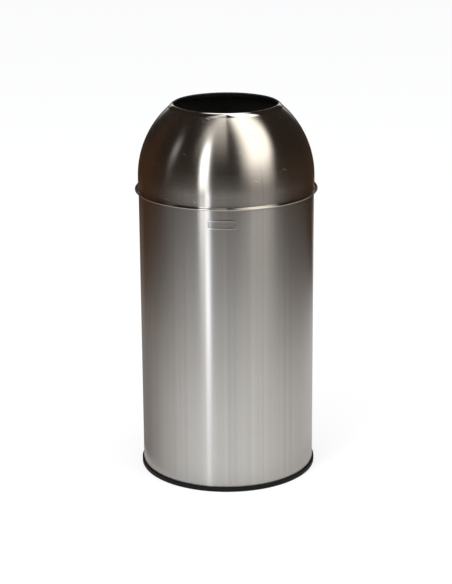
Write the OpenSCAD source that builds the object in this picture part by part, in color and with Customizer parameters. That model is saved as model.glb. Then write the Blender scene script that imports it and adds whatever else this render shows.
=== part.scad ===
// Dome top waste receptacle: a brushed steel tube on a black base ring, with a lift-off dome
// that is open at the top, and a galvanised liner bucket with a wire bail inside.
// Millimetres, +Z up, origin on the floor at the centre of the base.

/* [Body] */
// Outside diameter of the body tube
body_d = 350; // [300:1:400]
// Height of the body's rim above the floor
body_rim_z = 600; // [450:1:750]
// Sheet thickness of the body tube
body_wall = 0.8; // [0.6:0.1:1.2]
// Outside radius of the curled hem at the rim
hem_r = 2.5; // [2:0.1:3]
// Width of the lap behind the tube's seam
seam_lap_w = 14; // [8:1:20]
// Width of the seam line on the outside
seam_line_w = 0.8; // [0.4:0.1:1.2]

/* [Base] */
// Height of the base ring's outer wall
ring_h = 10; // [8:0.5:16]
// How far the base ring stands proud of the body
ring_proud = 3.4; // [3:0.1:6]
// Thickness of the base ring under the tube
ring_sole = 3; // [2.5:0.1:4]
// Width of the base ring's inner wall
ring_inner_w = 4; // [3:0.5:8]
// Rounding of the base ring's lower outer edge
ring_round = 2; // [1:0.1:2.5]
// Depth of the grip grooves in the sole
sole_groove_depth = 0.8; // [0.4:0.1:1.2]
// Sheet thickness of the base pan
pan_wall = 0.8; // [0.6:0.1:1.2]
// Height of the base pan's floor above the sole of the ring
pan_floor_rise = 3; // [2:0.5:5]
// Height of the base pan's upturned flange
pan_flange_h = 12; // [8:1:20]
// Height of the pressed plateau that the liner stands on
pan_plateau_h = 6; // [3:0.5:10]
// How far the plateau reaches past the liner's foot
pan_plateau_margin = 8; // [5:0.5:9]
// Width of each bead pressed into the plateau
pan_bead_w = 10; // [6:1:14]
// Depth of those beads
pan_bead_depth = 1.5; // [1:0.1:2]
// Corner radius of the base pan's flange
pan_corner_r = 2.5; // [2:0.1:4]

/* [Dome] */
// Sheet thickness of the dome
dome_wall = 0.7; // [0.6:0.1:1]
// Clearance between the dome's skirt and the body tube
skirt_gap = 0.3; // [0.3:0.05:0.6]
// How far the bead's centre hangs below the body's rim
skirt_drop = 17; // [12:1:25]
// Height above the body's rim where the skirt turns into the dome
skirt_rise = 8; // [8:1:20]
// Radius of the dome's meridian arc
dome_arc_r = 185; // [176:1:215]
// How far the flange and its bead stand out from the skirt
flange_w = 6.4; // [5:0.1:9]
// Outside radius of the rolled bead
bead_r = 1.6; // [1.5:0.1:2]
// Radius of the corner between the flange and the skirt
flange_fillet = 1.2; // [1:0.1:2]
// How far the crease, where the brushed dome ends, lies inside the skirt
crease_inset = 63; // [52:1:75]
// Radius of the polished band's own arc
band_arc_r = 25; // [20:1:40]
// Slope of the polished band where it leaves the crease
band_slope_low = 55; // [46:1:60]
// Slope of the polished band at the lip
band_slope_top = 30; // [20:1:40]
// Outside radius of the throat's rounded lip
lip_r = 2; // [1.5:0.1:3]
// Length of the lip's turned-down inner wall
lip_drop = 7; // [4:0.5:12]

/* [Lid seat] */
// Sheet thickness of the seat ring
seat_wall = 1; // [0.8:0.1:1.5]
// Height of the seat ring's welded leg
seat_leg_h = 8; // [5:0.5:8]
// How far the seat ring's guide reaches down inside the rim
seat_guide_h = 12; // [8:1:15]
// Clearance between the guide and the hem
seat_guide_gap = 0.8; // [0.4:0.1:1.5]

/* [Liner] */
// Sheet thickness of the liner
liner_wall = 0.7; // [0.5:0.1:1]
// Clearance between the liner's upper wall and the hem round it
liner_side_gap = 16; // [14:1:30]
// How much less the liner's radius is at its foot
liner_taper = 6; // [3:0.5:12]
// Depth of the liner's top edge below the body's rim
liner_drop = 32; // [31:1:60]
// Length of the liner's straight upper wall
liner_straight_h = 50; // [50:1:90]
// Radius of the wire rolled into the liner's rim
rim_wire_r = 2.25; // [1.5:0.05:2.5]
// Height of the liner's bottom above its foot
liner_bottom_rise = 12; // [6:1:20]

/* [Bail] */
// Radius of the bail's wire
bail_wire_r = 2.5; // [2:0.1:3]
// Radius of the bends where the wire turns out to the ears
bail_bend_r = 6; // [5:0.5:9]
// Clearance of the wire in the ears
bail_gap = 0.1; // [0.05:0.01:0.2]
// Radius of the flattened ends of the bail
bail_head_r = 4.5; // [4:0.1:6]
// Thickness of the flattened ends of the bail
bail_head_t = 1.8; // [1:0.1:2.5]
// Width of each ear
ear_w = 24; // [18:1:30]
// Plate thickness of each ear
ear_t = 1.5; // [1:0.1:2]
// Distance from the ear's hole down to its lower end
ear_reach = 50; // [48:1:60]
// Radius of the rivets' shanks
rivet_r = 2; // [1.5:0.1:2.5]
// Distance between an ear's two rivets
rivet_pitch = 13; // [10:1:16]

/* [Hidden] */
$fn = 96;
// Gap between sheets that are welded or seamed together
weld_gap = 0.1;
// Gap between pieces that rest on each other and come apart
rest_gap = 0.3;

body_r = body_d / 2;
body_in_r = body_r - body_wall;
hem_in_r = body_r - 2 * hem_r;

liner_top_r = hem_in_r - liner_side_gap;
liner_foot_r = liner_top_r - liner_taper;

pan_plateau_r = liner_foot_r + pan_plateau_margin;
pan_floor_z = ring_sole + pan_floor_rise;
plateau_z = pan_floor_z + pan_plateau_h + pan_wall;
pan_r = body_in_r - weld_gap;
ring_in_r = pan_r - pan_wall - weld_gap;

skirt_r = body_r + skirt_gap + dome_wall;
crease_r = skirt_r - crease_inset;
bead_z = body_rim_z - skirt_drop;
flange_z = bead_z + bead_r;
bead_centre_r = skirt_r + flange_w - bead_r;
spring_z = body_rim_z + skirt_rise;

seat_r = skirt_r - dome_wall - weld_gap;
seat_z = body_rim_z + rest_gap;
guide_r = hem_in_r - seat_guide_gap;

liner_foot_z = plateau_z + rest_gap;
liner_curl_r = rim_wire_r + weld_gap;
liner_rim_z = body_rim_z - liner_drop;
curl_z = liner_rim_z - liner_curl_r - liner_wall;
curl_r = liner_top_r + liner_curl_r;
liner_rim_r = curl_r + liner_curl_r + liner_wall;

pivot_z = liner_rim_z + rest_gap + bail_wire_r;
ear_foot_x = liner_top_r + weld_gap;
ear_top_x = liner_rim_r + rest_gap + 0.1;
ear_foot_z = pivot_z - ear_reach;
ear_joggle_z = curl_z - liner_curl_r - liner_wall - 2;
bail_elbow_x = ear_top_x - rest_gap;
bail_r = bail_elbow_x - bail_bend_r;
rivet_z = ear_foot_z + rivet_pitch / 2 + 5;

steel = "lightsteelblue";
polished = "gainsboro";
galvanised = "silver";
moulded = [0.08, 0.08, 0.09];

// Points on a circle round c from angle a0 to a1, in n steps.
function arc(c, r, a0, a1, n) =
    [for (i = [0:n]) let (a = a0 + (a1 - a0) * i / n) c + r * [cos(a), sin(a)]];

// Unit direction of a path at its point i.
function heading(path, i) =
    let (d = path[min(i + 1, len(path) - 1)] - path[max(i - 1, 0)]) d / norm(d);

// The path moved t to the left of its own direction.
function beside(path, t) =
    [for (i = [0:len(path) - 1]) let (d = heading(path, i)) path[i] + t * [-d[1], d[0]]];

function reversed(path) = [for (i = [len(path) - 1:-1:0]) path[i]];

// Section of a sheet whose outer face follows the path and whose thickness lies to its left.
module sheet_section(path, t) {
    polygon(concat(path, reversed(beside(path, t))));
}

// A sector of the plane round c from angle a0 to a1, no wider than a half turn.
module sector(c, r, a0, a1) {
    polygon(concat([c], [for (i = [0:3]) c + 3 * r * [cos(a0 + (a1 - a0) * i / 3),
                                                      sin(a0 + (a1 - a0) * i / 3)]]));
}

// Section of a bent stretch of sheet: its face has radius r round c, and its thickness lies
// towards c, or away from c where t is below zero.
module bend(c, r, a0, a1, t) {
    if (a1 - a0 <= 180)
        intersection() {
            bend_ring(c, r, t);
            sector(c, max(r, r - t), a0, a1);
        }
    else
        difference() {
            bend_ring(c, r, t);
            sector(c, max(r, r - t), a1, a0 + 360);
        }
}

module bend_ring(c, r, t) {
    translate(c) difference() {
        circle(r = max(r, r - t));
        circle(r = min(r, r - t));
    }
}

// Section of a straight stretch of sheet from p to q, its thickness to the left.
module strip(p, q, t) {
    n = [p[1] - q[1], q[0] - p[0]] / norm(q - p);
    polygon([p, q, q + t * n, p + t * n]);
}

// Places its children at the right ear's side, with x pointing away from the axis.
module at_ear(side) {
    if (side > 0) children();
    else mirror([1, 0, 0]) children();
}

module along_x(x0, x1, r) {
    translate([x0, 0, 0]) rotate([0, 90, 0]) cylinder(r = r, h = x1 - x0);
}

// ---- Body ----

// The tube is one rolled sheet: its ends lap inside the back, which leaves a line outside.
module body_shell() {
    lap_low = ring_sole + pan_floor_rise + pan_flange_h + 4;
    lap_high = body_rim_z - 2 * hem_r - 3;
    lap_angle = seam_lap_w / body_in_r * 180 / PI;
    line_angle = seam_line_w / body_r * 180 / PI;
    color(steel) difference() {
        union() {
            rotate_extrude(convexity = 8) {
                strip([body_r, ring_sole + weld_gap], [body_r, body_rim_z - hem_r], body_wall);
                bend([body_r - hem_r, body_rim_z - hem_r], hem_r, 0, 270, body_wall);
            }
            rotate([0, 0, 90])
                rotate_extrude(angle = lap_angle)
                    translate([body_in_r - body_wall, lap_low])
                        square([body_wall * 1.25, lap_high - lap_low]);
        }
        rotate([0, 0, 90])
            rotate_extrude(angle = line_angle)
                translate([body_r - body_wall / 3, ring_h + 1])
                    square([body_wall, lap_high - ring_h - 1]);
    }
}

// ---- Base ----

function pan_path() =
    let (corner = pan_corner_r,
         step = pan_plateau_h / 2,
         z1 = pan_floor_z,
         z2 = pan_floor_z + pan_plateau_h)
    concat([[pan_r, z1 + pan_flange_h]],
           arc([pan_r - corner, z1 + corner], corner, 0, -90, 6),
           arc([pan_plateau_r + 2 * step, z1 + step], step, -90, -150, 4),
           arc([pan_plateau_r - step, z2 - step], step, 30, 90, 4),
           pan_bead(pan_plateau_r * 0.72, z2),
           pan_bead(pan_plateau_r * 0.36, z2),
           [[0, z2]]);

// A shallow round bead, pressed down into the plateau, which stiffens it.
function pan_bead(r, z) =
    let (w = pan_bead_w / 2, d = pan_bead_depth)
    [[r + w, z], [r + w / 2, z - d], [r - w / 2, z - d], [r - w, z]];

module base_pan() {
    color(galvanised)
        rotate_extrude(convexity = 8) {
            path = pan_path();
            polygon(concat(path, [for (p = reversed(beside(path, -pan_wall))) [max(p[0], 0), p[1]]]));
        }
}

// Moulded ring: a groove takes the tube's edge, and the inner wall carries the base pan.
module base_ring() {
    outer_r = body_r + ring_proud;
    groove_r = body_r + weld_gap;
    inner_r = ring_in_r - ring_inner_w;
    top_round = 1.2;
    outline = concat([[inner_r, 0]],
                     arc([outer_r - ring_round, ring_round], ring_round, -90, 0, 6),
                     arc([outer_r - top_round, ring_h - top_round], top_round, 0, 90, 6),
                     [[groove_r, ring_h], [groove_r, ring_sole], [ring_in_r, ring_sole],
                      [ring_in_r, pan_floor_z - weld_gap - pan_floor_rise / 2],
                      [ring_in_r - pan_floor_rise / 2, pan_floor_z - weld_gap],
                      [inner_r, pan_floor_z - weld_gap]]);
    sole_w = outer_r - ring_round - inner_r;
    groove_w = 1.2;
    color(moulded) difference() {
        rotate_extrude(convexity = 8) polygon(outline);
        for (share = [1 / 3, 2 / 3])
            rotate_extrude()
                translate([inner_r + sole_w * share - groove_w / 2, -1])
                    square([groove_w, 1 + sole_groove_depth]);
    }
}

// ---- Lid ----

dome_centre = [skirt_r - dome_arc_r, spring_z];
crease_a = acos((crease_r - dome_centre[0]) / dome_arc_r);
crease_p = dome_centre + dome_arc_r * [cos(crease_a), sin(crease_a)];
band_a0 = 90 - band_slope_low;
band_a1 = 90 - band_slope_top;
band_centre = crease_p - band_arc_r * [cos(band_a0), sin(band_a0)];
band_end = band_centre + band_arc_r * [cos(band_a1), sin(band_a1)];
lip_centre = band_end - lip_r * [cos(band_a1), sin(band_a1)];

// The polished band, the lip and its turned-down wall, from just inside the brushed sheet.
function throat_path() =
    concat(arc(band_centre, band_arc_r, band_a0 - 0.5 / band_arc_r * 180 / PI, band_a1, 8),
           arc(lip_centre, lip_r, band_a1 + 15, 180, 7),
           [lip_centre - [lip_r, lip_drop]]);

// From the curled edge of the bead, in along the flange, up the skirt and over to the throat.
module dome_shell() {
    t = dome_wall;
    corner = [skirt_r + flange_fillet, flange_z + flange_fillet];
    color(polished) rotate_extrude(convexity = 8) {
        bend([bead_centre_r, bead_z], bead_r, -150, 90, t);
        strip([bead_centre_r, flange_z], [corner[0], flange_z], t);
        bend(corner, flange_fillet, 180, 270, -t);
        strip([skirt_r, corner[1]], [skirt_r, spring_z], t);
        bend(dome_centre, dome_arc_r, 0, crease_a, t, $fn = 480);
        sheet_section(throat_path(), t);
    }
}

// A rolled Z section inside the skirt: it sits on the hem and guides the lid into the body.
module lid_seat_ring() {
    corner = 1.5;
    inner_r = guide_r - seat_wall;
    path = concat([[inner_r, seat_z + seat_wall - seat_guide_h]],
                  arc([inner_r + corner, seat_z + seat_wall - corner], corner, 180, 90, 4),
                  arc([seat_r - seat_wall - corner, seat_z + seat_wall + corner], corner, 270, 360, 4),
                  [[seat_r - seat_wall, seat_z + seat_leg_h]]);
    color(galvanised) rotate_extrude(convexity = 4) sheet_section(path, -seat_wall);
}

// ---- Liner ----

module ear_rivet_holes(r) {
    for (i = [0, 1])
        translate([0, 0, rivet_z + i * rivet_pitch])
            along_x(liner_top_r - 5, ear_top_x + 5, r);
}

module liner_shell() {
    color(galvanised) difference() {
        rotate_extrude(convexity = 8) {
            strip([liner_foot_r, liner_foot_z], [liner_top_r, curl_z - liner_straight_h], liner_wall);
            strip([liner_top_r, curl_z - liner_straight_h], [liner_top_r, curl_z], liner_wall);
            bend([curl_r, curl_z], liner_curl_r, -90, 180, -liner_wall);
        }
        for (side = [1, -1]) at_ear(side) ear_rivet_holes(rivet_r + weld_gap);
    }
}

// A dished disc whose flange is turned down and welded inside the foot of the wall.
module liner_bottom() {
    corner = 3;
    r = liner_foot_r - liner_wall - weld_gap;
    z = liner_foot_z + liner_bottom_rise;
    path = concat([[0, z]],
                  [[r * 0.6, z]],
                  [[r * 0.6 + 4, z - 2]],
                  arc([r - corner, z - 2 - corner], corner, 90, 0, 6),
                  [[r, liner_foot_z]]);
    color(galvanised)
        rotate_extrude(convexity = 8)
            polygon(concat(path, [for (p = reversed(beside(path, -liner_wall))) [max(p[0], 0), p[1]]]));
}

module liner_rim_wire() {
    color(galvanised)
        translate([0, 0, curl_z])
            rotate_extrude() translate([curl_r, 0]) circle(r = rim_wire_r);
}

// Outline of an ear seen along x, with a round head about the bail's hole.
module ear_outline() {
    head_r = ear_w / 2;
    translate([-head_r, ear_foot_z]) square([ear_w, pivot_z - ear_foot_z]);
    translate([0, pivot_z]) circle(r = head_r);
}

// A pressed plate, joggled outwards so that it passes the rolled rim.
module ear(side) {
    head_top = pivot_z + ear_w / 2 + 1;
    joggle_top = ear_joggle_z + (ear_top_x - ear_foot_x);
    path = [[ear_foot_x, ear_foot_z - 1], [ear_foot_x, ear_joggle_z - 5],
            [ear_top_x, joggle_top - 5], [ear_top_x, head_top]];
    color(galvanised) at_ear(side) difference() {
        intersection() {
            rotate([90, 0, 0])
                linear_extrude(height = ear_w + 2, center = true) sheet_section(path, -ear_t);
            rotate([90, 0, 90])
                linear_extrude(height = ear_top_x + 10) ear_outline();
        }
        translate([0, 0, pivot_z]) along_x(ear_top_x - 5, ear_top_x + 5, bail_wire_r + bail_gap);
        ear_rivet_holes(rivet_r + weld_gap);
    }
}

module ear_right() { ear(1); }
module ear_left() { ear(-1); }

// A round-headed rivet along x, closed inside the liner.
module rivet() {
    outer_x = ear_foot_x + ear_t + weld_gap;
    inner_x = liner_top_r - liner_wall - 2 * weld_gap;
    head_r = rivet_r * 2;
    closed_t = 1.2;
    cap_r = head_r * 1.25;
    rotate([0, 90, 0]) rotate_extrude() {
        translate([0, inner_x - closed_t]) square([rivet_r, outer_x - inner_x + closed_t + 0.5]);
        translate([0, inner_x - closed_t]) square([head_r * 0.85, closed_t]);
        intersection() {
            translate([0, outer_x - cap_r * 0.6]) circle(r = cap_r);
            translate([0, outer_x]) square([head_r * 2, cap_r]);
        }
    }
}

module ear_rivets() {
    color(galvanised)
        for (side = [1, -1], i = [0, 1])
            at_ear(side) translate([0, 0, rivet_z + i * rivet_pitch]) rivet();
}

// ---- Bail ----

// A half hoop of wire that lies on the rim, with its ends bent out through the ears.
module bail_handle() {
    head_x = ear_top_x + ear_t + rest_gap;
    color(galvanised) translate([0, 0, pivot_z]) {
        translate([0, bail_bend_r, 0]) rotate_extrude(angle = 180) wire_section(bail_r);
        for (side = [1, -1]) at_ear(side) {
            translate([bail_elbow_x, bail_bend_r, 0])
                rotate([0, 0, 180]) rotate_extrude(angle = 90) wire_section(bail_bend_r);
            along_x(bail_elbow_x, head_x + bail_head_t / 2, bail_wire_r);
            along_x(head_x, head_x + bail_head_t, bail_head_r);
        }
    }
}

module wire_section(r) {
    translate([r, 0]) circle(r = bail_wire_r, $fn = 32);
}

body_shell();
base_pan();
base_ring();
dome_shell();
lid_seat_ring();
liner_shell();
liner_bottom();
liner_rim_wire();
ear_right();
ear_left();
ear_rivets();
bail_handle();
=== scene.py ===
"""Scene of a dome top waste receptacle.

A brushed steel tube stands on a black moulded ring. A lift-off steel dome, open at the top and
black inside, sits on it, and a galvanised liner bucket with a wire bail stands in it.
"""

import logging
from contextlib import contextmanager
from dataclasses import dataclass, field
from enum import Enum
from math import acos, cos, degrees, hypot, inf, pi, radians, sin
from typing import Any, Callable, Iterator

import bpy
from mathutils import Matrix, Vector


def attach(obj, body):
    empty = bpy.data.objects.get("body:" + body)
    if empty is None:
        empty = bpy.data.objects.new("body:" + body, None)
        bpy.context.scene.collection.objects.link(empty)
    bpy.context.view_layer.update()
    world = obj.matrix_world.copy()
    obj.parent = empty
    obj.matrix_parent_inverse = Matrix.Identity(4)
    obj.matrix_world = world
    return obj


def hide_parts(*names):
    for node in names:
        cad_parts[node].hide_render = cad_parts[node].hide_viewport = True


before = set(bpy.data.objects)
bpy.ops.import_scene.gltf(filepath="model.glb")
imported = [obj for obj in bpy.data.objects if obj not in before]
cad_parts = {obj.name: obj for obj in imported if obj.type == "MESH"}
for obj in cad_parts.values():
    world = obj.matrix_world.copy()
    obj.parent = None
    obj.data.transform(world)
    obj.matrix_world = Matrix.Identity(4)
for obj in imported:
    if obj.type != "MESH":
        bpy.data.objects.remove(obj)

LOG = logging.getLogger("receptacle")
IMAGE_WIDTH, IMAGE_HEIGHT = 452, 584
SENSOR_MM = 36.0

Pair = tuple[float, float]
Point = Pair
Triple = tuple[float, float, float]
Colour = tuple[float, float, float, float]
Piece = bpy.types.Object
Material = bpy.types.Material
Tree = bpy.types.NodeTree

MM = 0.001
MM_PER_M = 1000.0
BODY_RADIUS_MM = 175.0
BODY_RIM_MM = 600.0
SAME_PLACE_MM = 0.004
MERGE_M = 2e-6
CREASE_DEG = 32.0
QUARTER_TURN = 0.25
WHOLE: Pair = (0.0, 1.0)
# The levels of a noise texture hardly ever leave this range.
NOISE_RANGE: Pair = (0.25, 0.75)
UP: Triple = (0.0, 0.0, 1.0)
SOFT: dict[str, str] = {"interpolation_type": "SMOOTHSTEP"}
# The inputs and the output of a mix node that are for colours.
FIRST_HUE, SECOND_HUE, MIXED_HUE = 6, 7, 2


# ---------- Hand tools ----------


def linear(hex_colour: str) -> Colour:
    """Turns an sRGB hex colour into the linear values that a shader takes.

    Args:
        hex_colour: Six hex digits, with or without a leading #.

    Returns:
        Red, green, blue and an alpha of 1.
    """
    digits = hex_colour.lstrip("#")
    shares = [int(digits[i : i + 2], 16) / 255 for i in (0, 2, 4)]
    red, green, blue = (
        s / 12.92 if s <= 0.04045 else ((s + 0.055) / 1.055) ** 2.4 for s in shares
    )
    return red, green, blue, 1.0


def deselect_all() -> None:
    """Leaves object mode with nothing selected."""
    if bpy.context.mode != "OBJECT":
        bpy.ops.object.mode_set(mode="OBJECT")
    bpy.ops.object.select_all(action="DESELECT")


@contextmanager
def editing(piece: Piece) -> Iterator[None]:
    """Holds a piece in edit mode, all selected, for the length of a with block.

    Args:
        piece: The mesh object to edit.
    """
    bpy.context.view_layer.objects.active = piece
    bpy.ops.object.mode_set(mode="EDIT")
    bpy.ops.mesh.select_all(action="SELECT")
    try:
        yield
    finally:
        bpy.ops.object.mode_set(mode="OBJECT")


def merge_doubles(distance: float = MERGE_M) -> None:
    """Merges the points of the mesh in edit mode that lie within a distance, in metres."""
    bpy.ops.mesh.select_all(action="SELECT")
    bpy.ops.mesh.remove_doubles(threshold=distance)


def pick(piece: Piece) -> None:
    """Selects one piece alone and makes it the active one.

    Args:
        piece: The object.
    """
    deselect_all()
    piece.select_set(True)
    bpy.context.view_layer.objects.active = piece


def smooth(piece: Piece, angle_deg: float = CREASE_DEG) -> None:
    """Shades a piece smooth, and keeps the edges that are sharper than the angle."""
    pick(piece)
    bpy.ops.object.shade_smooth_by_angle(angle=radians(angle_deg))


def paint(piece: Piece, *finishes: Material) -> None:
    """Puts materials into a piece's slots in order, in place of those it has.

    Args:
        piece: The mesh object.
        finishes: The materials, first slot first.
    """
    piece.data.materials.clear()
    for finish in finishes:
        piece.data.materials.append(finish)


# ---------- Sections of bent sheet ----------


def polar(centre: Point, radius: float, angle_deg: float) -> Point:
    """Returns the point of a circle at an angle from the outward direction, turning upwards."""
    a = radians(angle_deg)
    return centre[0] + radius * cos(a), centre[1] + radius * sin(a)


@dataclass
class SheetSection:
    """One face of a bent sheet, followed from end to end, with its thickness to the left."""

    thickness: float
    stations: list[tuple[Point, Point]] = field(default_factory=list)

    def run(self, start: Point, end: Point) -> None:
        """Adds a straight stretch.

        Args:
            start: Where the stretch begins.
            end: Where it ends.
        """
        dr, dz = end[0] - start[0], end[1] - start[1]
        length = hypot(dr, dz)
        left = (-dz / length, dr / length)
        self.stations += [(start, left), (end, left)]

    def bend(
        self, centre: Point, radius: float, first_deg: float, last_deg: float, count: int
    ) -> None:
        """Adds a rounded stretch.

        Args:
            centre: Centre of the bend.
            radius: Radius of the face that is followed.
            first_deg: Angle at the start.
            last_deg: Angle at the end; a smaller one turns clockwise.
            count: Number of straight steps.
        """
        inward = -1.0 if last_deg > first_deg else 1.0
        for i in range(count + 1):
            angle = first_deg + (last_deg - first_deg) * i / count
            left = polar((0.0, 0.0), inward, angle)
            self.stations.append((polar(centre, radius, angle), left))

    def outline(self) -> list[Point]:
        """Returns the closed outline: the face, then the back of the sheet in reverse."""
        face = [point for point, _ in self.stations]
        back = [
            (point[0] + self.thickness * left[0], point[1] + self.thickness * left[1])
            for point, left in self.stations
        ]
        outline: list[Point] = []
        for point in face + back[::-1]:
            last = outline[-1] if outline else (-inf, 0.0)
            if hypot(point[0] - last[0], point[1] - last[1]) > SAME_PLACE_MM:
                outline.append(point)
        return outline


def spin_outline(
    name: str, outline: list[Point], segments: int, angle_deg: float = CREASE_DEG
) -> Piece:
    """Turns a closed outline about the upright axis into a solid ring.

    Args:
        name: Name of the new piece.
        outline: Points as radius and height in millimetres.
        segments: Number of steps round the axis.
        angle_deg: The least angle between two faces that stays a visible edge.

    Returns:
        The new mesh object, with its place in its mesh.
    """
    deselect_all()
    first = Vector((outline[0][0] * MM, 0.0, outline[0][1] * MM))
    bpy.ops.mesh.primitive_plane_add(size=MM, location=(0, 0, 0))
    piece = bpy.context.object
    piece.name = piece.data.name = name
    with editing(piece):
        bpy.ops.mesh.merge(type="CENTER")
        bpy.ops.transform.translate(value=first)
        for here, there in zip(outline, outline[1:] + outline[:1]):
            step = ((there[0] - here[0]) * MM, 0.0, (there[1] - here[1]) * MM)
            bpy.ops.mesh.extrude_region_move(TRANSFORM_OT_translate={"value": step})
        merge_doubles(MERGE_M / 2)
        bpy.ops.mesh.spin(
            steps=segments, angle=2 * pi, center=(0, 0, 0), axis=(0, 0, 1), use_auto_merge=True
        )
        merge_doubles()
        bpy.ops.mesh.normals_make_consistent(inside=False)
    smooth(piece, angle_deg)
    return piece


def assign_faces(piece: Piece, chooser: Callable[[Vector, Vector], Enum]) -> None:
    """Gives each face of a piece its material slot.

    Args:
        piece: The mesh object.
        chooser: Takes a face's centre in millimetres as radius and height, and its normal's
            outward and upward parts, and returns the finish, whose value is its slot.
    """
    for face in piece.data.polygons:
        centre, normal = face.center, face.normal
        radius = hypot(centre.x, centre.y)
        outward = (normal.x * centre.x + normal.y * centre.y) / radius
        place = Vector((radius / MM, centre.z / MM))
        face.material_index = chooser(place, Vector((outward, normal.z))).value


# ---------- Finishes ----------


def put(
    tree: Tree, kind: str, inputs: dict[Any, Any] | tuple[Any, ...] = (), **settings: Any
) -> Any:
    """Adds one node with its settings, values and links.

    Args:
        tree: The node tree.
        kind: The node's type, without the ShaderNode before it.
        inputs: The inputs in order, or by name or number. Each is a value, or the socket that
            feeds it, or the node whose first output does.
        settings: Attributes of the node.

    Returns:
        The new node.
    """
    node = tree.nodes.new("ShaderNode" + kind)
    for key, value in settings.items():
        setattr(node, key, value)
    for key, value in inputs.items() if isinstance(inputs, dict) else enumerate(inputs):
        feed = value.outputs[0] if isinstance(value, bpy.types.Node) else value
        if isinstance(feed, bpy.types.NodeSocket):
            tree.links.new(feed, node.inputs[key])
        else:
            node.inputs[key].default_value = feed
    return node


def around(middle: float, half: float) -> Pair:
    """Returns the range that reaches half on each side of a middle."""
    return middle - half, middle + half


def blank_material(name: str) -> tuple[Material, Tree]:
    """Makes a material with an empty node tree.

    Args:
        name: The material's name.

    Returns:
        The material and its tree.
    """
    material = bpy.data.materials.new(name)
    material.use_nodes = True
    material.node_tree.nodes.clear()
    return material, material.node_tree


@dataclass(frozen=True)
class HandlingMarks:
    """A few short scuffs from handling, which cross the grain and look matt."""

    across: Triple = (0.35, 0.2, 0.9)
    spacing_mm: float = 13.0
    edge: Pair = (0.02, 0.05)
    patch_mm: float = 23.81
    rarity: Pair = (0.74, 0.77)
    extra_roughness: float = 0.3

    def lay(self, tree: Tree, place: Any, rough: Any) -> Any:
        """Lays the scuffs on the steel.

        Args:
            tree: The material's tree.
            place: Socket with the Object coordinates.
            rough: Node with the roughness of the clean steel.

        Returns:
            Node with the roughness of the scuffed steel.
        """
        along = put(tree, "VectorMath", (place, self.across), operation="DOT_PRODUCT")
        per_metre = MM_PER_M / self.spacing_mm
        turns = put(tree, "Math", (along.outputs["Value"], per_metre), operation="MULTIPLY")
        off = put(tree, "Math", (turns, 0.5), operation="PINGPONG")
        thin = put(tree, "MapRange", (off, *self.edge, 1.0, 0.0))
        patches = {"Vector": place, "Scale": MM_PER_M / self.patch_mm, "Detail": 0.0}
        rare = put(tree, "MapRange", (put(tree, "TexNoise", patches), *self.rarity, *WHOLE))
        mask = put(tree, "Math", (thin, rare), operation="MULTIPLY")
        return put(tree, "Math", (mask, self.extra_roughness, rough), operation="MULTIPLY_ADD")


@dataclass(frozen=True)
class SeamGrooveShade:
    """Painted shade in the groove of the rolled sheet's closed seam: a fine darker line up the
    back.
    """

    half_width_mm: Pair = (0.4, 1.0)
    shade: float = 0.45

    def draw(self, tree: Tree, place: Any, colour: Any) -> Any:
        """Paints the groove's shade on the steel as a darker line.

        Args:
            tree: The material's tree.
            place: Socket with the Object coordinates.
            colour: Node with the colour of the plain steel.

        Returns:
            Node with the new colour.
        """
        parts = put(tree, "SeparateXYZ", (place,))
        aside = put(tree, "Math", (parts.outputs[0],), operation="ABSOLUTE")
        inner, outer = (half * MM for half in self.half_width_mm)
        near = put(tree, "MapRange", (aside, inner, outer, self.shade, 1.0))
        front = put(tree, "Math", (parts.outputs[1], 0.0), operation="LESS_THAN")
        keep = put(tree, "Math", (near, front), operation="MAXIMUM")
        return put(tree, "VectorMath", {0: colour, "Scale": keep}, operation="SCALE")


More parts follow.
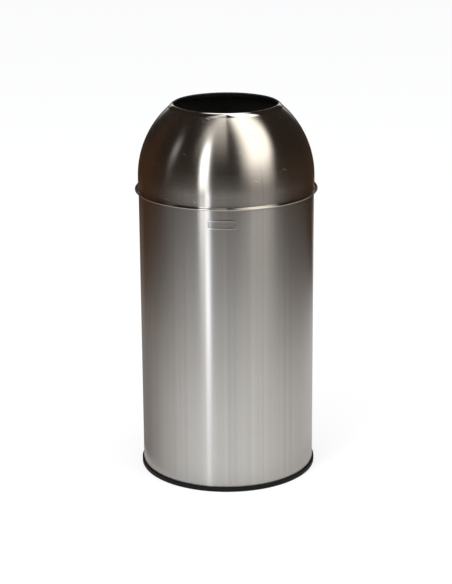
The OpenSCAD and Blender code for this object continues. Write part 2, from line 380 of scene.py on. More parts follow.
@dataclass(frozen=True)
class BrushedSteel:
    """Stainless steel sheet, brushed round the piece with an abrasive belt.

    The belt leaves fine scratches that run level round the piece. Light is smeared across them,
    so that lamps and dark walls show as tall upright bands with clear sides and faded ends.
    """

    name: str
    steel_hex: str
    warm_hex: str
    roughness: float
    anisotropy: float
    grain_mm: float
    grain_contrast: float
    grain_spread: float
    scratch_depth_mm: float
    grain_round: float = 3.0
    cloud_mm: float = 140.0
    bump_strength: float = 0.12
    seam: SeamGrooveShade | None = None
    scuffs: HandlingMarks | None = None

    def build(self) -> Material:
        """Returns the material."""
        material, tree = blank_material(self.name)
        place = put(tree, "TexCoord").outputs["Object"]
        # Real scratches are about 0.1 mm apart, too fine to show here, so the grain is drawn
        # about 1 mm apart. It hardly changes round the piece and changes quickly with height.
        scale = (self.grain_round, self.grain_round, MM_PER_M / self.grain_mm)
        stretched = put(tree, "Mapping", {"Vector": place, "Scale": scale})
        fibres = {"Vector": stretched, "Scale": 1.0, "Detail": 3.0, "Roughness": 0.6}
        grain = put(tree, "TexNoise", fibres)
        clouds = {"Vector": place, "Scale": MM_PER_M / self.cloud_mm, "Detail": 2.0}
        hues = {0: put(tree, "TexNoise", clouds)}
        hues |= {FIRST_HUE: linear(self.steel_hex), SECOND_HUE: linear(self.warm_hex)}
        tone = put(tree, "Mix", hues, data_type="RGBA").outputs[MIXED_HUE]
        shade = put(tree, "MapRange", (grain, *NOISE_RANGE, 1 - self.grain_contrast, 1.0))
        colour = put(tree, "VectorMath", {0: tone, "Scale": shade}, operation="SCALE")
        # Painted shade along the seam groove, on the pieces that have one.
        if self.seam:
            colour = self.seam.draw(tree, place, colour)
        ends = around(self.roughness, self.roughness * self.grain_spread)
        rough = put(tree, "MapRange", (grain, *NOISE_RANGE, *ends))
        if self.scuffs:
            rough = self.scuffs.lay(tree, place, rough)
        depth = self.scratch_depth_mm * MM
        relief = {"Height": grain, "Strength": self.bump_strength, "Distance": depth}
        # The scratches' own direction: level, and at a right angle to the surface's normal.
        normal = put(tree, "NewGeometry").outputs["Normal"]
        along = put(tree, "VectorMath", (UP, normal), operation="CROSS_PRODUCT")
        shader = put(
            tree,
            "BsdfPrincipled",
            {
                "Base Color": colour,
                "Metallic": 1.0,
                "Roughness": rough,
                "Anisotropic": self.anisotropy,
                "Anisotropic Rotation": QUARTER_TURN,
                "Tangent": along,
                "Normal": put(tree, "Bump", relief),
            },
        )
        put(tree, "OutputMaterial", {"Surface": shader})
        return material


@dataclass(frozen=True)
class PolishedSteel:
    """Stainless steel that a burnishing roller has closed up: nearly a mirror, faintly wavy."""

    name: str
    steel_hex: str
    roughness: float
    wave_mm: float = 60.0
    wave_depth_mm: float = 0.05
    wave_strength: float = 0.2
    fine_mm: float = 1.111
    spread: float = 0.3

    def build(self) -> Material:
        """Returns the material."""
        material, tree = blank_material(self.name)
        place = put(tree, "TexCoord").outputs["Object"]
        waves = {"Vector": place, "Scale": MM_PER_M / self.wave_mm, "Detail": 1.0}
        specks = {"Vector": place, "Scale": MM_PER_M / self.fine_mm, "Detail": 2.0}
        wave, fine = put(tree, "TexNoise", waves), put(tree, "TexNoise", specks)
        ends = around(self.roughness, self.roughness * self.spread)
        depth = self.wave_depth_mm * MM
        relief = {"Height": wave, "Strength": self.wave_strength, "Distance": depth}
        shader = put(
            tree,
            "BsdfPrincipled",
            {
                "Base Color": linear(self.steel_hex),
                "Metallic": 1.0,
                "Roughness": put(tree, "MapRange", (fine, *WHOLE, *ends)),
                "Normal": put(tree, "Bump", relief),
            },
        )
        put(tree, "OutputMaterial", {"Surface": shader})
        return material


@dataclass(frozen=True)
class GalvanisedSheet:
    """Hot-dipped zinc on steel sheet: a mosaic of grey crystals, some duller than others."""

    name: str = "galvanised_sheet"
    light_hex: str = "#A9ADAF"
    dark_hex: str = "#8C9194"
    spangle_mm: float = 9.0
    ragged_mm: float = 4.167
    shift_mm: float = 4.0
    roughness: float = 0.42
    spread: float = 0.08
    bump_strength: float = 0.15
    bump_depth_mm: float = 0.02

    def build(self) -> Material:
        """Returns the material."""
        material, tree = blank_material(self.name)
        place = put(tree, "TexCoord").outputs["Object"]
        # The crystals' borders are ragged, so each place is shifted a little before they are laid.
        clouds = {"Vector": place, "Scale": MM_PER_M / self.ragged_mm, "Detail": 2.0}
        ragged = put(tree, "TexNoise", clouds)
        shift = (self.shift_mm * MM,) * 3
        moved = put(tree, "VectorMath", (ragged.outputs[1], shift, place), operation="MULTIPLY_ADD")
        crystals = {"Vector": moved, "Scale": MM_PER_M / self.spangle_mm}
        spangle = put(tree, "TexVoronoi", crystals).outputs["Color"]
        level = put(tree, "SeparateXYZ", (spangle,))
        hues = {0: level, FIRST_HUE: linear(self.light_hex), SECOND_HUE: linear(self.dark_hex)}
        ends = around(self.roughness, self.spread)
        depth = self.bump_depth_mm * MM
        relief = {"Height": ragged, "Strength": self.bump_strength, "Distance": depth}
        shader = put(
            tree,
            "BsdfPrincipled",
            {
                "Base Color": put(tree, "Mix", hues, data_type="RGBA").outputs[MIXED_HUE],
                "Metallic": 1.0,
                "Roughness": put(tree, "MapRange", (level.outputs[1], *WHOLE, *ends)),
                "Normal": put(tree, "Bump", relief),
            },
        )
        put(tree, "OutputMaterial", {"Surface": shader})
        return material


@dataclass(frozen=True)
class DullCoat:
    """A coloured coat or moulding without metal, with a fine grain that breaks up its gloss."""

    name: str
    base_hex: str
    worn_hex: str
    roughness: float
    ior: float
    grain_mm: float
    grain_depth_mm: float
    specular: float
    patch_mm: float = 45.45
    spread: float = 0.06
    bump_strength: float = 0.3

    def build(self) -> Material:
        """Returns the material."""
        material, tree = blank_material(self.name)
        place = put(tree, "TexCoord").outputs["Object"]
        pits = {"Vector": place, "Scale": MM_PER_M / self.grain_mm, "Detail": 3.0, "Roughness": 0.6}
        clouds = {"Vector": place, "Scale": MM_PER_M / self.patch_mm, "Detail": 2.0}
        grain, patches = put(tree, "TexNoise", pits), put(tree, "TexNoise", clouds)
        hues = {0: patches, FIRST_HUE: linear(self.base_hex), SECOND_HUE: linear(self.worn_hex)}
        ends = around(self.roughness, self.spread)
        depth = self.grain_depth_mm * MM
        relief = {"Height": grain, "Strength": self.bump_strength, "Distance": depth}
        shader = put(
            tree,
            "BsdfPrincipled",
            {
                "Base Color": put(tree, "Mix", hues, data_type="RGBA").outputs[MIXED_HUE],
                "Roughness": put(tree, "MapRange", (patches, *WHOLE, *ends)),
                "IOR": self.ior,
                "Specular IOR Level": self.specular,
                "Normal": put(tree, "Bump", relief),
            },
        )
        put(tree, "OutputMaterial", {"Surface": shader})
        return material


# ---------- The receptacle ----------


@dataclass
class BodyTube:
    """The rolled tube with its curled rim. Sizes are in millimetres, as in the part's source."""

    radius: float = BODY_RADIUS_MM
    rim_z: float = BODY_RIM_MM
    wall: float = 0.8
    hem_r: float = 2.5
    hem_deg: float = 270.0
    hem_steps: int = 18
    low_z: float = 3.1
    seam_w: float = 0.8
    seam_x: float = 0.45
    seam_depth: float = 0.27
    seam_low_z: float = 11.0
    seam_below_rim: float = 8.0
    cutter_reach: float = 1.0
    segments: int = 288

    def build(self) -> Piece:
        """Returns the tube."""
        hem = (self.radius - self.hem_r, self.rim_z - self.hem_r)
        section = SheetSection(self.wall)
        section.run((self.radius, self.low_z), (self.radius, hem[1]))
        section.bend(hem, self.hem_r, 0.0, self.hem_deg, self.hem_steps)
        piece = spin_outline("body_tube", section.outline(), self.segments)
        self.cut_seam(piece)
        return piece

    def cut_seam(self, piece: Piece) -> None:
        """Cuts the narrow groove where the rolled sheet's edge lies, up the back of the tube.

        Args:
            piece: The tube.
        """
        low, high = self.seam_low_z * MM, (self.rim_z - self.seam_below_rim) * MM
        depth = (self.seam_depth + self.cutter_reach) * MM
        middle_y = (self.radius + self.cutter_reach) * MM - depth / 2
        place = (-self.seam_x * MM, middle_y, (low + high) / 2)
        deselect_all()
        bpy.ops.mesh.primitive_cube_add(size=1.0, location=place)
        cutter = bpy.context.object
        cutter.scale = (self.seam_w * MM, depth, high - low)
        bpy.ops.object.transform_apply(location=True, rotation=True, scale=True)
        pick(piece)
        bpy.ops.object.modifier_add(type="BOOLEAN")
        groove = piece.modifiers[-1]
        groove.object, groove.operation, groove.solver = cutter, "DIFFERENCE", "EXACT"
        bpy.ops.object.modifier_apply(modifier=groove.name)
        bpy.data.objects.remove(cutter)
        smooth(piece)

    def dress(self, piece: Piece) -> None:
        """Brushes the tube and sets it on the bin.

        Args:
            piece: The tube.
        """
        # Stainless steel brushed round the tube: lamps become tall, soft upright bands.
        finish = BrushedSteel(
            "brushed_stainless_body",
            "#CFCDCA",
            "#C9C6C0",
            roughness=0.265,
            anisotropy=0.925,
            grain_mm=0.9,
            grain_contrast=0.025,
            grain_spread=0.03,
            scratch_depth_mm=0.0012,
            # Painted shade: a fine darker line along the seam groove up the back.
            seam=SeamGrooveShade(),
        )
        paint(piece, finish.build())
        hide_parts("body_shell")
        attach(piece, "bin")


@dataclass
class PressedFrame:
    """A blank upright frame pressed out of the front of the tube, below the dome."""

    width: float = 56.0
    height: float = 18.0
    corner_r: float = 5.0
    rim_w: float = 3.0
    proud: float = 1.1
    sink: float = 0.2
    corner_steps: int = 6
    rounding: float = 1.1
    rounding_steps: int = 5
    crisp_deg: float = 60.0
    centre_z: float = 552.5
    centre_deg: float = -3.0
    tube_r: float = BODY_RADIUS_MM
    cuts: int = 18

    def build(self) -> Piece:
        """Returns the frame."""
        deselect_all()
        bpy.ops.mesh.primitive_plane_add(size=MM, location=(0, 0, 0))
        piece = bpy.context.object
        piece.name = piece.data.name = "pressed_frame"
        with editing(piece):
            bpy.ops.transform.resize(value=(self.width, self.height, 1))
            bpy.ops.mesh.bevel(
                offset=self.corner_r * MM, segments=self.corner_steps, affect="VERTICES"
            )
            bpy.ops.mesh.select_all(action="SELECT")
            bpy.ops.mesh.inset(thickness=self.rim_w * MM)
            bpy.ops.mesh.delete(type="FACE")
            for i in range(1, self.cuts):
                x = (i / self.cuts - 0.5) * self.width * MM
                bpy.ops.mesh.select_all(action="SELECT")
                bpy.ops.mesh.bisect(plane_co=(x, 0, 0), plane_no=(1, 0, 0))
            bpy.ops.mesh.select_all(action="SELECT")
            bpy.ops.mesh.extrude_region_move(
                TRANSFORM_OT_translate={"value": (0, 0, (self.proud + self.sink) * MM)}
            )
            bpy.ops.mesh.select_all(action="SELECT")
            bpy.ops.mesh.normals_make_consistent(inside=False)
        bpy.ops.object.modifier_add(type="BEVEL")
        rounding = piece.modifiers[-1]
        rounding.width, rounding.segments = self.rounding * MM, self.rounding_steps
        rounding.limit_method, rounding.angle_limit = "ANGLE", radians(self.crisp_deg)
        bpy.ops.object.modifier_apply(modifier=rounding.name)
        with editing(piece):
            merge_doubles()
        self.wrap(piece)
        smooth(piece, self.crisp_deg)
        return piece

    def wrap(self, piece: Piece) -> None:
        """Lays the flat frame onto the front of the tube.

        Args:
            piece: The frame, flat in X and Y, with its relief along Z.
        """
        for vertex in piece.data.vertices:
            x, y, z = vertex.co
            radius = self.tube_r * MM + z - self.sink * MM
            angle = radians(self.centre_deg) + x / (self.tube_r * MM)
            vertex.co = (radius * sin(angle), -radius * cos(angle), self.centre_z * MM + y)

    def dress(self, piece: Piece) -> None:
        """Gives the frame the tube's steel, rubbed brighter, and sets it on the bin.

        Args:
            piece: The frame.
        """
        # The tube's steel, rubbed smooth by the press: its edges catch small lights.
        paint(piece, PolishedSteel("rubbed_stainless_frame", "#CFCCC8", 0.20).build())
        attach(piece, "bin")


@dataclass
class BaseRing:
    """The moulded ring with the groove that takes the tube's lower edge."""

    tube_r: float = BODY_RADIUS_MM
    height: float = 10.0
    proud: float = 3.4
    sole: float = 3.0
    inner_w: float = 4.0
    foot_round: float = 2.0
    top_round: float = 1.2
    tube_wall: float = 0.8
    gap: float = 0.1
    floor_rise: float = 3.0
    tread_w: float = 1.2
    tread_depth: float = 0.8
    step_deg: int = 10
    segments: int = 240

    def build(self) -> Piece:
        """Returns the ring."""
        outer = self.tube_r + self.proud
        groove = self.tube_r + self.gap
        seat = self.tube_r - 2 * self.tube_wall - 2 * self.gap
        inner = seat - self.inner_w
        ledge = self.sole + self.floor_rise - self.gap
        sole_w = outer - self.foot_round - inner
        outline: list[Point] = [(inner, 0.0)]
        for share in (1 / 3, 2 / 3):
            middle = inner + sole_w * share
            near, far = middle - self.tread_w / 2, middle + self.tread_w / 2
            outline += [(near, 0.0), (near, self.tread_depth), (far, self.tread_depth), (far, 0.0)]
        outline += [
            polar((outer - self.foot_round, self.foot_round), self.foot_round, a)
            for a in range(-90, 1, self.step_deg)
        ]
        outline += [
            polar((outer - self.top_round, self.height - self.top_round), self.top_round, a)
            for a in range(0, 91, self.step_deg)
        ]
        outline += [
            (groove, self.height),
            (groove, self.sole),
            (seat, self.sole),
            (seat, ledge - self.floor_rise / 2),
            (seat - self.floor_rise / 2, ledge),
            (inner, ledge),
        ]
        return spin_outline("base_foot_ring", outline, self.segments)

    def dress(self, piece: Piece) -> None:
        """Gives the ring its black moulding and sets it on the bin.

        Args:
            piece: The ring.
        """
        # Polypropylene from a spark-eroded mould: an even fine grain with a low sheen.
        finish = DullCoat(
            "moulded_polypropylene_black",
            "#0E0E0F",
            "#131314",
            roughness=0.52,
            ior=1.49,
            grain_mm=0.9,
            grain_depth_mm=0.03,
            specular=0.22,
        )
        paint(piece, finish.build())
        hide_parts("base_ring")
        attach(piece, "bin")


class DomeFace(Enum):
    """The four finishes of the dome, by material slot."""

    BRUSHED = 0
    POLISHED = 1
    INSIDE = 2
    THROAT = 3


@dataclass
class Dome:
    """The spun dome with its skirt, rolled bead, polished band and turned-in throat."""

    tube_r: float = BODY_RADIUS_MM
    rim_z: float = BODY_RIM_MM
    wall: float = 0.7
    skirt_gap: float = 0.3
    skirt_drop: float = 17.0
    skirt_rise: float = 8.0
    arc_r: float = 185.0
    flange_w: float = 6.4
    bead_r: float = 1.6
    bead_deg: float = -150.0
    fillet: float = 1.2
    crease_inset: float = 63.0
    band_arc_r: float = 25.0
    band_low_deg: float = 55.0
    band_top_deg: float = 30.0
    lip_r: float = 2.0
    lip_drop: float = 7.0
    bead_steps: int = 36
    fillet_steps: int = 12
    dome_steps: int = 32
    band_steps: int = 9
    lip_steps: int = 18
    segments: int = 288
    # The crease turns the sheet by only 14 degrees, and yet it is a clear line on the dome.
    crisp_deg: float = 10.0
    # What face_of allows beside the throat's sheet, above its edge and round its lip.
    throat_reach: float = 0.1
    inside_rise: float = 1.2
    lip_turn: float = 0.15
    skirt_r: float = field(init=False)
    centre: Point = field(init=False)
    crease_z: float = field(init=False)
    throat_r: float = field(init=False)
    throat_z: float = field(init=False)

    def build(self) -> Piece:
        """Returns the dome."""
        skirt = self.tube_r + self.skirt_gap + self.wall
        bead_z = self.rim_z - self.skirt_drop
        flange_z = bead_z + self.bead_r
        bead = (skirt + self.flange_w - self.bead_r, bead_z)
        corner = (skirt + self.fillet, flange_z + self.fillet)
        spring = (skirt, self.rim_z + self.skirt_rise)
        centre = (skirt - self.arc_r, spring[1])
        crease_r = skirt - self.crease_inset
        crease_deg = degrees(acos((crease_r - centre[0]) / self.arc_r))
        crease = polar(centre, self.arc_r, crease_deg)
        low, top = 90 - self.band_low_deg, 90 - self.band_top_deg
        band = polar(crease, -self.band_arc_r, low)
        lip = polar(polar(band, self.band_arc_r, top), -self.lip_r, top)
        section = SheetSection(self.wall)
        section.bend(bead, self.bead_r, self.bead_deg, 90, self.bead_steps)
        section.run((bead[0], flange_z), (corner[0], flange_z))
        section.bend(corner, self.fillet, 270, 180, self.fillet_steps)
        section.run((skirt, corner[1]), spring)
        section.bend(centre, self.arc_r, 0, crease_deg, self.dome_steps)
        section.bend(band, self.band_arc_r, low, top, self.band_steps)
        section.bend(lip, self.lip_r, top, 180, self.lip_steps)
        edge = (lip[0] - self.lip_r, lip[1])
        section.run(edge, (edge[0], edge[1] - self.lip_drop))
        self.skirt_r, self.centre, self.crease_z = skirt, centre, crease[1]
        self.throat_r, self.throat_z = edge
        return spin_outline("dome_lid", section.outline(), self.segments, self.crisp_deg)

    def face_of(self, place: Vector, normal: Vector) -> DomeFace:
        """Chooses the finish of one face.

        Args:
            place: Radius and height of the face's centre, in millimetres.
            normal: Outward and upward parts of the face's normal.

        Returns:
            The face's finish.
        """
        radius, height = place
        bead_top = self.rim_z - self.skirt_drop + 2 * self.bead_r
        facing = normal[0] * (radius - self.centre[0]) + normal[1] * (height - self.centre[1])
        if height < bead_top and radius > self.skirt_r:
            return DomeFace.POLISHED
        if radius < self.throat_r + self.wall + self.throat_reach and height < self.throat_z:
            return DomeFace.THROAT
        if facing < 0 and height < self.throat_z + self.inside_rise:
            return DomeFace.INSIDE
        if normal[0] < self.lip_turn and radius < self.throat_r + 2 * self.lip_r:
            return DomeFace.THROAT
        if height > self.crease_z:
            return DomeFace.POLISHED
        return DomeFace.BRUSHED

    def dress(self, piece: Piece) -> None:
        """Gives the dome its four finishes and sets it on the lid.

        Args:
            piece: The dome.
        """
        # The dome is brushed finer than the tube, so its bands are clearer, with a few scuffs.
        brushed = BrushedSteel(
            "fine_brushed_stainless_dome",
            "#CDCAC5",
            "#C6C1B9",
            roughness=0.21,
            anisotropy=0.88,
            grain_mm=1.2,
            grain_contrast=0.03,
            grain_spread=0.15,
            scratch_depth_mm=0.0022,
            scuffs=HandlingMarks(),
        )
        # The spinner's roller burnishes the bead and the band: nearly mirrors, with crisp lights.
        polished = PolishedSteel("burnished_stainless_throat", "#CBC8C3", 0.07)
        # The throat and the inside of the dome are lacquered black, the throat smoother. Painted
        # light:
        # the lit throat is painted nearly pure black, and the shaded inside a greyer, duller black,
        # so that both look equally dark through the opening.
        coat = {"ior": 1.5, "grain_mm": 2.0, "grain_depth_mm": 0.01}
        thin = DullCoat("black_lacquer_lightened_for_shade", "#302E2C", "#363331", 0.52, specular=0.27, **coat)
        lit_throat_lacquer = DullCoat("black_lacquer_darkened_for_light", "#0A0A0A", "#0D0D0D", 0.42, specular=0.13, **coat)
        paint(piece, brushed.build(), polished.build(), thin.build(), lit_throat_lacquer.build())
        assign_faces(piece, self.face_of)
        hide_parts("dome_shell")
        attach(piece, "lid")


@dataclass
class LinerAndHardware:
    """The pieces whose CAD shapes stay: the liner, its bail, the seat ring and the base pan."""

    sheet_nodes: tuple[str, ...] = ("liner_shell", "liner_bottom", "base_pan", "lid_seat_ring")
    wire_nodes: tuple[str, ...] = ("liner_rim_wire", "bail_handle")
    pressed_nodes: tuple[str, ...] = ("ear_right", "ear_left", "ear_rivets")
    crisp_deg: float = 30.0

    def dress(self) -> None:
        """Gives each piece its zinc."""
        # Hot-dipped sheet: grey crystals, which catch the light one by one.
        sheet = GalvanisedSheet().build()
        # Zinc-plated drawn wire and small pressings: brighter and without the crystals.
        zinc = PolishedSteel("zinc_plated_wire", "#A7AAAC", 0.30, wave_mm=20.0, wave_depth_mm=0.02)
        wire = zinc.build()
        for name in self.sheet_nodes + self.wire_nodes + self.pressed_nodes:
            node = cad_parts[name]
            paint(node, sheet if name in self.sheet_nodes else wire)
            smooth(node, self.crisp_deg)
            LOG.info("%s keeps its CAD shape", name)


# ---------- The studio ----------


def azimuth_of(tree: Tree) -> Any:
    """Returns the node with the azimuth of the shaded point, in degrees."""
    parts = put(tree, "SeparateXYZ", (put(tree, "TexCoord").outputs["Object"],))
    front = put(tree, "Math", (parts.outputs[1], -1.0), operation="MULTIPLY")
    turn = put(tree, "Math", (parts.outputs[0], front), operation="ARCTAN2")
    return put(tree, "Math", (turn,), operation="DEGREES")


def seen_share(tree: Tree) -> Any:
    """Returns the node that is 1 for camera, glossy and transmission rays, and else 0."""
    ray = put(tree, "LightPath").outputs
    first = put(tree, "Math", (ray["Is Camera Ray"], ray["Is Glossy Ray"]), operation="MAXIMUM")
    return put(tree, "Math", (first, ray["Is Transmission Ray"]), operation="MAXIMUM")


def lay_strip(tree: Tree, below: Any, opacity: Any, hex_colour: str, strength: float) -> Any:
    """Lays a glowing or dark strip over what a card shows, and returns the mix's node."""
    strip = put(tree, "Emission", {"Color": linear(hex_colour), "Strength": strength})
    return put(tree, "MixShader", (opacity, below, strip))


@dataclass(frozen=True)
class Softbox:
    """A glowing patch of the dark tent, between two azimuths, in degrees.

    Azimuth 0 is the photograph's side and grows to the right. The levels give the patch's
    strength at each elevation. Its right edge may lean outwards with height.
    """

    left: float
    right: float
    left_edge: float
    right_edge: float
    levels: tuple[Pair, ...]
    hex_colour: str = "#FFFFFF"
    lean: float = 0.0
    lean_from: float = 35.0

    def light(self, tree: Tree, azimuth: Any, elevation: Any) -> Any:
        """Works out the patch's light.

        Args:
            tree: The tent's node tree.
            azimuth: Node with the azimuth in degrees.
            elevation: Node with the elevation in degrees.

        Returns:
            Node with the light's colour.
        """
        middle, half = (self.left + self.right) / 2, (self.right - self.left) / 2
        apart = put(tree, "Math", (azimuth, middle), operation="SUBTRACT")
        near = put(tree, "Math", (apart, 180.0, -180.0), operation="WRAP")
        above = put(tree, "Math", (elevation, self.lean_from), operation="SUBTRACT")
        climbed = put(tree, "Math", (above, 0.0), operation="MAXIMUM")
        leant = put(tree, "Math", (climbed, -self.lean, near), operation="MULTIPLY_ADD")
        left, right = around(-half, self.left_edge), around(half, self.right_edge)
        starts = put(tree, "MapRange", (near, *left, *WHOLE), **SOFT)
        stops = put(tree, "MapRange", (leant, *right, 1.0, 0.0), **SOFT)
        across = put(tree, "Math", (starts, stops), operation="MULTIPLY")
        strongest = max(level for _, level in self.levels)
        share = put(tree, "MapRange", (elevation, -90.0, 90.0, *WHOLE))
        upright = put(tree, "ValToRGB", (share,))
        marks = upright.color_ramp.elements
        while len(marks) < len(self.levels):
            marks.new(0.5)
        for mark, (angle, level) in zip(marks, self.levels):
            mark.position = (angle + 90) / 180
            mark.color = (level / strongest,) * 3 + (1.0,)
        tint = Vector(linear(self.hex_colour)[:3]) * strongest
        mask = put(tree, "Math", (across, upright), operation="MULTIPLY")
        return put(tree, "VectorMath", {0: tint, "Scale": mask}, operation="SCALE")


@dataclass(frozen=True)
class NearCard:
    """A strip of the thin card that stands close round the tube, in degrees of azimuth."""

    left: float
    right: float
    left_edge: float
    right_edge: float
    opacity: float
    hex_colour: str
    strength: float = 1.0

    def share(self, tree: Tree, azimuth: Any) -> Any:
        """Works out where the strip covers the card.

        Args:
            tree: The card's node tree.
            azimuth: Node with the azimuth in degrees.

        Returns:
            Node with the strip's opacity.
        """
        left, right = around(self.left, self.left_edge), around(self.right, self.right_edge)
        starts = put(tree, "MapRange", (azimuth, *left, 0.0, self.opacity), **SOFT)
        stops = put(tree, "MapRange", (azimuth, *right, 1.0, 0.0), **SOFT)
        return put(tree, "Math", (starts, stops), operation="MULTIPLY")


@dataclass(frozen=True)
class Lamp:
    """One soft lamp that faces the receptacle. Its place and size are in metres."""

    name: str
    place: Triple
    size: float
    watts: float
    aim: Triple = (0.0, 0.0, 0.35)

    def build(self) -> None:
        """Hangs the lamp."""
        deselect_all()
        bpy.ops.object.light_add(type="AREA", location=self.place)
        lamp = bpy.context.object
        lamp.name = self.name
        lamp.data.size, lamp.data.energy = self.size, self.watts
        towards = Vector(self.aim) - Vector(self.place)
        lamp.rotation_euler = towards.to_track_quat("-Z", "Y").to_euler()
        lamp.visible_glossy = False


@dataclass
class Studio:
    """A pale floor, soft lamps, and a dark tent with softboxes that only reflections see."""

    tent_radius: float = 1.35
    tent_height: float = 2.5
    tent_hex: str = "#312A25"
    floor_radius: float = 40.0
    floor_sink: float = 0.0004
    floor_hex: str = "#F4F4F4"
    seen_floor: float = 0.45
    seen_glow: float = 0.64
    # The painted shadow round the foot, in the floor's glow that reflections see.
    shade_radius: float = 0.225
    shade_edge: float = 0.055
    shade_levels: Pair = (0.2, 0.54)
    ambient_hex: str = "#FBFCFF"
    ambient: float = 0.72
    card_radius: float = 0.21
    card_height: float = 0.74
    card_fade: float = 0.12
    streak_hex: str = "#2A221B"
    streak_degrees: float = 3.6
    streak_opacity: float = 0.16
    streak_middle: float = 0.55
    streak_half: float = 0.25
    lamps: tuple[Lamp, ...] = (
        Lamp("key_softbox", (-1.9, -2.4, 2.9), 1.8, 62.0),
        Lamp("fill_softbox", (2.4, -1.6, 2.4), 1.8, 34.0),
    )
    cards: tuple[NearCard, ...] = (
        NearCard(-150.0, -54.0, 20.0, 40.0, 0.72, "#4C3420"),
        NearCard(-16.6, -12.8, 1.4, 1.4, 0.34, "#F0F5FF", 1.5),
        NearCard(40.0, 150.0, 30.0, 20.0, 0.26, "#5E4430"),
    )
    softboxes: tuple[Softbox, ...] = (
        Softbox(-24.6, -20.0, 0.8, 0.8, ((-60, 4.6), (11, 4.6), (18, 0.0)), "#F0F5FF"),
        Softbox(-32.6, -21.5, 1.2, 1.2, ((14, 0.0), (23, 2.6), (38, 2.6), (47, 0.0))),
        Softbox(-33.5, -23.5, 2.0, 2.0, ((36, 0.0), (45, 4.2), (54, 3.2), (63, 0.3), (90, 0.3))),
        Softbox(
            -48.0,
            2.0,
            5.0,
            3.0,
            ((45, 0.0), (56, 0.2), (65, 0.5), (77, 0.8), (83, 1.5), (90, 1.5)),
            "#FFF8F0",
        ),
        Softbox(
            27.0,
            59.0,
            14.0,
            8.0,
            ((4, 0.0), (11, 0.02), (19, 0.2), (28, 0.5), (36, 1.0), (45, 2.2), (90, 2.4)),
            "#FFF9F1",
            lean=1.1,
            lean_from=40.0,
        ),
        Softbox(-70.0, 70.0, 25.0, 22.0, ((-20, 0.32), (4, 0.3), (11, 0.2), (20, 0.07), (33, 0.0))),
        Softbox(-80.0, -72.0, 2.5, 2.5, ((18, 0.0), (29, 0.06), (40, 0.2), (47, 0.6), (56, 0.0))),
        Softbox(-128.0, -104.0, 6.0, 5.0, ((-40, 0.06), (45, 0.06), (56, 0.0)), "#A8643A"),
        Softbox(155.0, 165.0, 2.5, 2.0, ((28, 0.0), (37, 0.75), (56, 0.75), (69, 0.0))),
        Softbox(195.0, 205.0, 2.0, 2.5, ((28, 0.0), (37, 0.75), (56, 0.75), (69, 0.0))),
        Softbox(105.0, 238.0, 12.0, 6.0, ((71, 0.0), (77, 2.0), (90, 2.0))),
        Softbox(150.0, 158.0, 1.5, 1.5, ((-60, 0.8), (6, 0.8), (13, 0.0))),
        Softbox(190.0, 225.0, 6.0, 6.0, ((-60, 0.45), (6, 0.45), (13, 0.0)), "#FFF5E8"),
    )

    def build(self) -> None:
        """Makes the floor, the tent, the card, the lamps and the world."""
        self.floor()
        self.tent()
        self.near_card()
        for lamp in self.lamps:
            lamp.build()
        self.world()

    def floor(self) -> None:
        """Lays the pale floor, which keeps a faint shadow."""
        deselect_all()
        low = (0, 0, -self.floor_sink)
        bpy.ops.mesh.primitive_circle_add(
            vertices=96, radius=self.floor_radius, fill_type="NGON", location=low
        )
        floor = bpy.context.object
        floor.name = "studio_floor"
        material, tree = blank_material("pale_studio_floor")
        plain = put(tree, "BsdfDiffuse", {"Color": linear(self.floor_hex)})
        grey = (self.seen_floor,) * 3 + (1.0,)
        dim = put(tree, "BsdfDiffuse", {"Color": grey})
        by_eye = put(tree, "LightPath").outputs["Is Camera Ray"]
        # Painted shadow: close to the foot, the floor's glow that reflections see is dimmed, as
        # though the receptacle kept the room's light off the floor.
        place = put(tree, "TexCoord").outputs["Object"]
        away = put(tree, "VectorMath", (place,), operation="LENGTH").outputs["Value"]
        edge = around(self.shade_radius, self.shade_edge)
        painted_shadow_glow = put(tree, "MapRange", (away, *edge, *self.shade_levels), **SOFT)
        seen_level = put(tree, "Math", (by_eye, self.seen_glow), operation="MULTIPLY")
        level = put(tree, "Math", (seen_level, painted_shadow_glow), operation="MAXIMUM")
        glow = put(tree, "Emission", {"Color": linear("#FFFFFF"), "Strength": level})
        lifted = put(tree, "AddShader", (dim, glow))
        mixed = put(tree, "MixShader", (seen_share(tree), plain, lifted))
        put(tree, "OutputMaterial", {"Surface": mixed})
        paint(floor, material)

    def tent(self) -> None:
        """Hangs the dark tent round the receptacle, seen in reflections only."""
        deselect_all()
        bpy.ops.mesh.primitive_uv_sphere_add(
            segments=64, ring_count=48, radius=self.tent_radius, location=(0, 0, 0)
        )
        tent = bpy.context.object
        tent.scale.z = self.tent_height / self.tent_radius
        bpy.ops.object.transform_apply(location=True, rotation=True, scale=True)
        tent.name = "studio_tent"
        material, tree = blank_material("dark_studio_tent")
        azimuth = azimuth_of(tree)
        place = put(tree, "TexCoord").outputs["Object"]
        height = put(tree, "SeparateXYZ", (place,)).outputs[2]
        level = put(tree, "VectorMath", (place, (1.0, 1.0, 0.0)), operation="MULTIPLY")
        away = put(tree, "VectorMath", (level,), operation="LENGTH").outputs["Value"]
        tilt = put(tree, "Math", (height, away), operation="ARCTAN2")
        elevation = put(tree, "Math", (tilt,), operation="DEGREES")
        total = put(tree, "VectorMath", (linear(self.tent_hex)[:3],), operation="ADD")
        for box in self.softboxes:
            light = box.light(tree, azimuth, elevation)
            total = put(tree, "VectorMath", (total, light), operation="ADD")
        shader = put(tree, "Emission", {"Color": total, "Strength": 1.0})
        put(tree, "OutputMaterial", {"Surface": shader})
        paint(tent, material)
        self.reflections_only(tent)

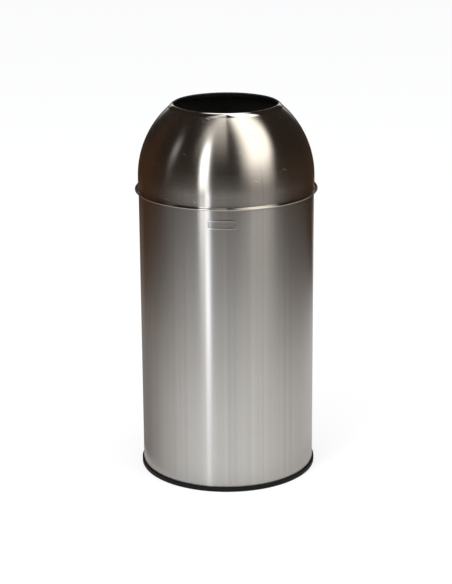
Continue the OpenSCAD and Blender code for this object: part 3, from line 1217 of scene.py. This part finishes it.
    def near_card(self) -> None:
        """Stands the thin card close round the tube, seen in reflections only.

        It shades the left side down to the foot and carries the narrow lamp's light down there,
        and its uneven thickness gives the faint upright streaks of a real room.
        """
        deselect_all()
        bpy.ops.mesh.primitive_cylinder_add(
            vertices=96,
            radius=self.card_radius,
            depth=self.card_height,
            end_fill_type="NOTHING",
            location=(0, 0, self.card_height / 2),
        )
        card = bpy.context.object
        bpy.ops.object.transform_apply(location=True, rotation=True, scale=True)
        card.name = "studio_card"
        material, tree = blank_material("thin_studio_card")
        azimuth = azimuth_of(tree)
        parts = put(tree, "SeparateXYZ", (put(tree, "TexCoord").outputs["Object"],))
        half = self.card_fade / 2
        top = around(self.card_height - half, half)
        fade = put(tree, "MapRange", (parts.outputs[2], *top, 1.0, 0.0), **SOFT)
        turns = put(tree, "Math", (azimuth, self.streak_degrees), operation="DIVIDE")
        uneven = {"W": turns, "Scale": 1.0, "Detail": 3.0, "Roughness": 0.6}
        streaks = put(tree, "TexNoise", uneven, noise_dimensions="1D")
        spread = around(self.streak_middle, self.streak_half)
        thick = put(tree, "MapRange", (streaks, *spread, 0.0, self.streak_opacity), **SOFT)
        opacity = put(tree, "Math", (thick, fade), operation="MULTIPLY")
        mixed = lay_strip(tree, put(tree, "BsdfTransparent"), opacity, self.streak_hex, 1.0)
        for strip in self.cards:
            share = strip.share(tree, azimuth)
            opacity = put(tree, "Math", (share, fade), operation="MULTIPLY")
            mixed = lay_strip(tree, mixed, opacity, strip.hex_colour, strip.strength)
        put(tree, "OutputMaterial", {"Surface": mixed})
        paint(card, material)
        self.reflections_only(card)

    def reflections_only(self, card: Piece) -> None:
        """Lets only glossy rays see a card.

        Args:
            card: The tent or the near card.
        """
        card.visible_camera = card.visible_diffuse = card.visible_shadow = False
        card.visible_transmission = card.visible_volume_scatter = False

    def world(self) -> None:
        """Fills the studio with even light, and shows a white background."""
        world = bpy.data.worlds.new("studio_world")
        world.use_nodes = True
        tree = world.node_tree
        tree.nodes.clear()
        even = {"Color": linear(self.ambient_hex), "Strength": self.ambient}
        ambient = put(tree, "Background", even)
        white = put(tree, "Background", {"Color": linear("#FFFFFF"), "Strength": 1.0})
        mixed = put(tree, "MixShader", (seen_share(tree), ambient, white))
        put(tree, "OutputWorld", {"Surface": mixed})
        bpy.context.scene.world = world


@dataclass
class PhotoCamera:
    """The camera at the photograph's viewing angle, from the fit to the object's outline."""

    distance: float = 3.5
    height: float = 1.4565
    pitch: float = 0.30264
    yaw: float = 0.00055
    roll_deg: float = -0.40
    focal_px: float = 1803.3
    clip: Pair = (0.1, 200.0)

    def build(self) -> None:
        """Makes the camera and looks through it."""
        deselect_all()
        bpy.ops.object.camera_add(location=(0.0, -self.distance, self.height))
        camera = bpy.context.object
        camera.name = "photo_camera"
        turn = (
            Matrix.Rotation(self.yaw, 3, "Z")
            @ Matrix.Rotation(pi / 2 - self.pitch, 3, "X")
            @ Matrix.Rotation(radians(self.roll_deg), 3, "Z")
        )
        camera.rotation_euler = turn.to_euler()
        camera.data.sensor_width = SENSOR_MM
        camera.data.lens = self.focal_px / max(IMAGE_WIDTH, IMAGE_HEIGHT) * SENSOR_MM
        camera.data.clip_start, camera.data.clip_end = self.clip
        bpy.context.scene.camera = camera


def main() -> None:
    """Builds the receptacle and its studio."""
    logging.basicConfig(level=logging.INFO, format="%(name)s: %(message)s")
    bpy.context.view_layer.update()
    for maker in (BodyTube(), PressedFrame(), BaseRing(), Dome()):
        piece = maker.build()
        maker.dress(piece)
        LOG.info("%s has %d faces", piece.name, len(piece.data.polygons))
    LinerAndHardware().dress()
    Studio().build()
    PhotoCamera().build()
    bpy.context.scene.view_settings.view_transform = "Standard"


if __name__ == "__main__":
    main()
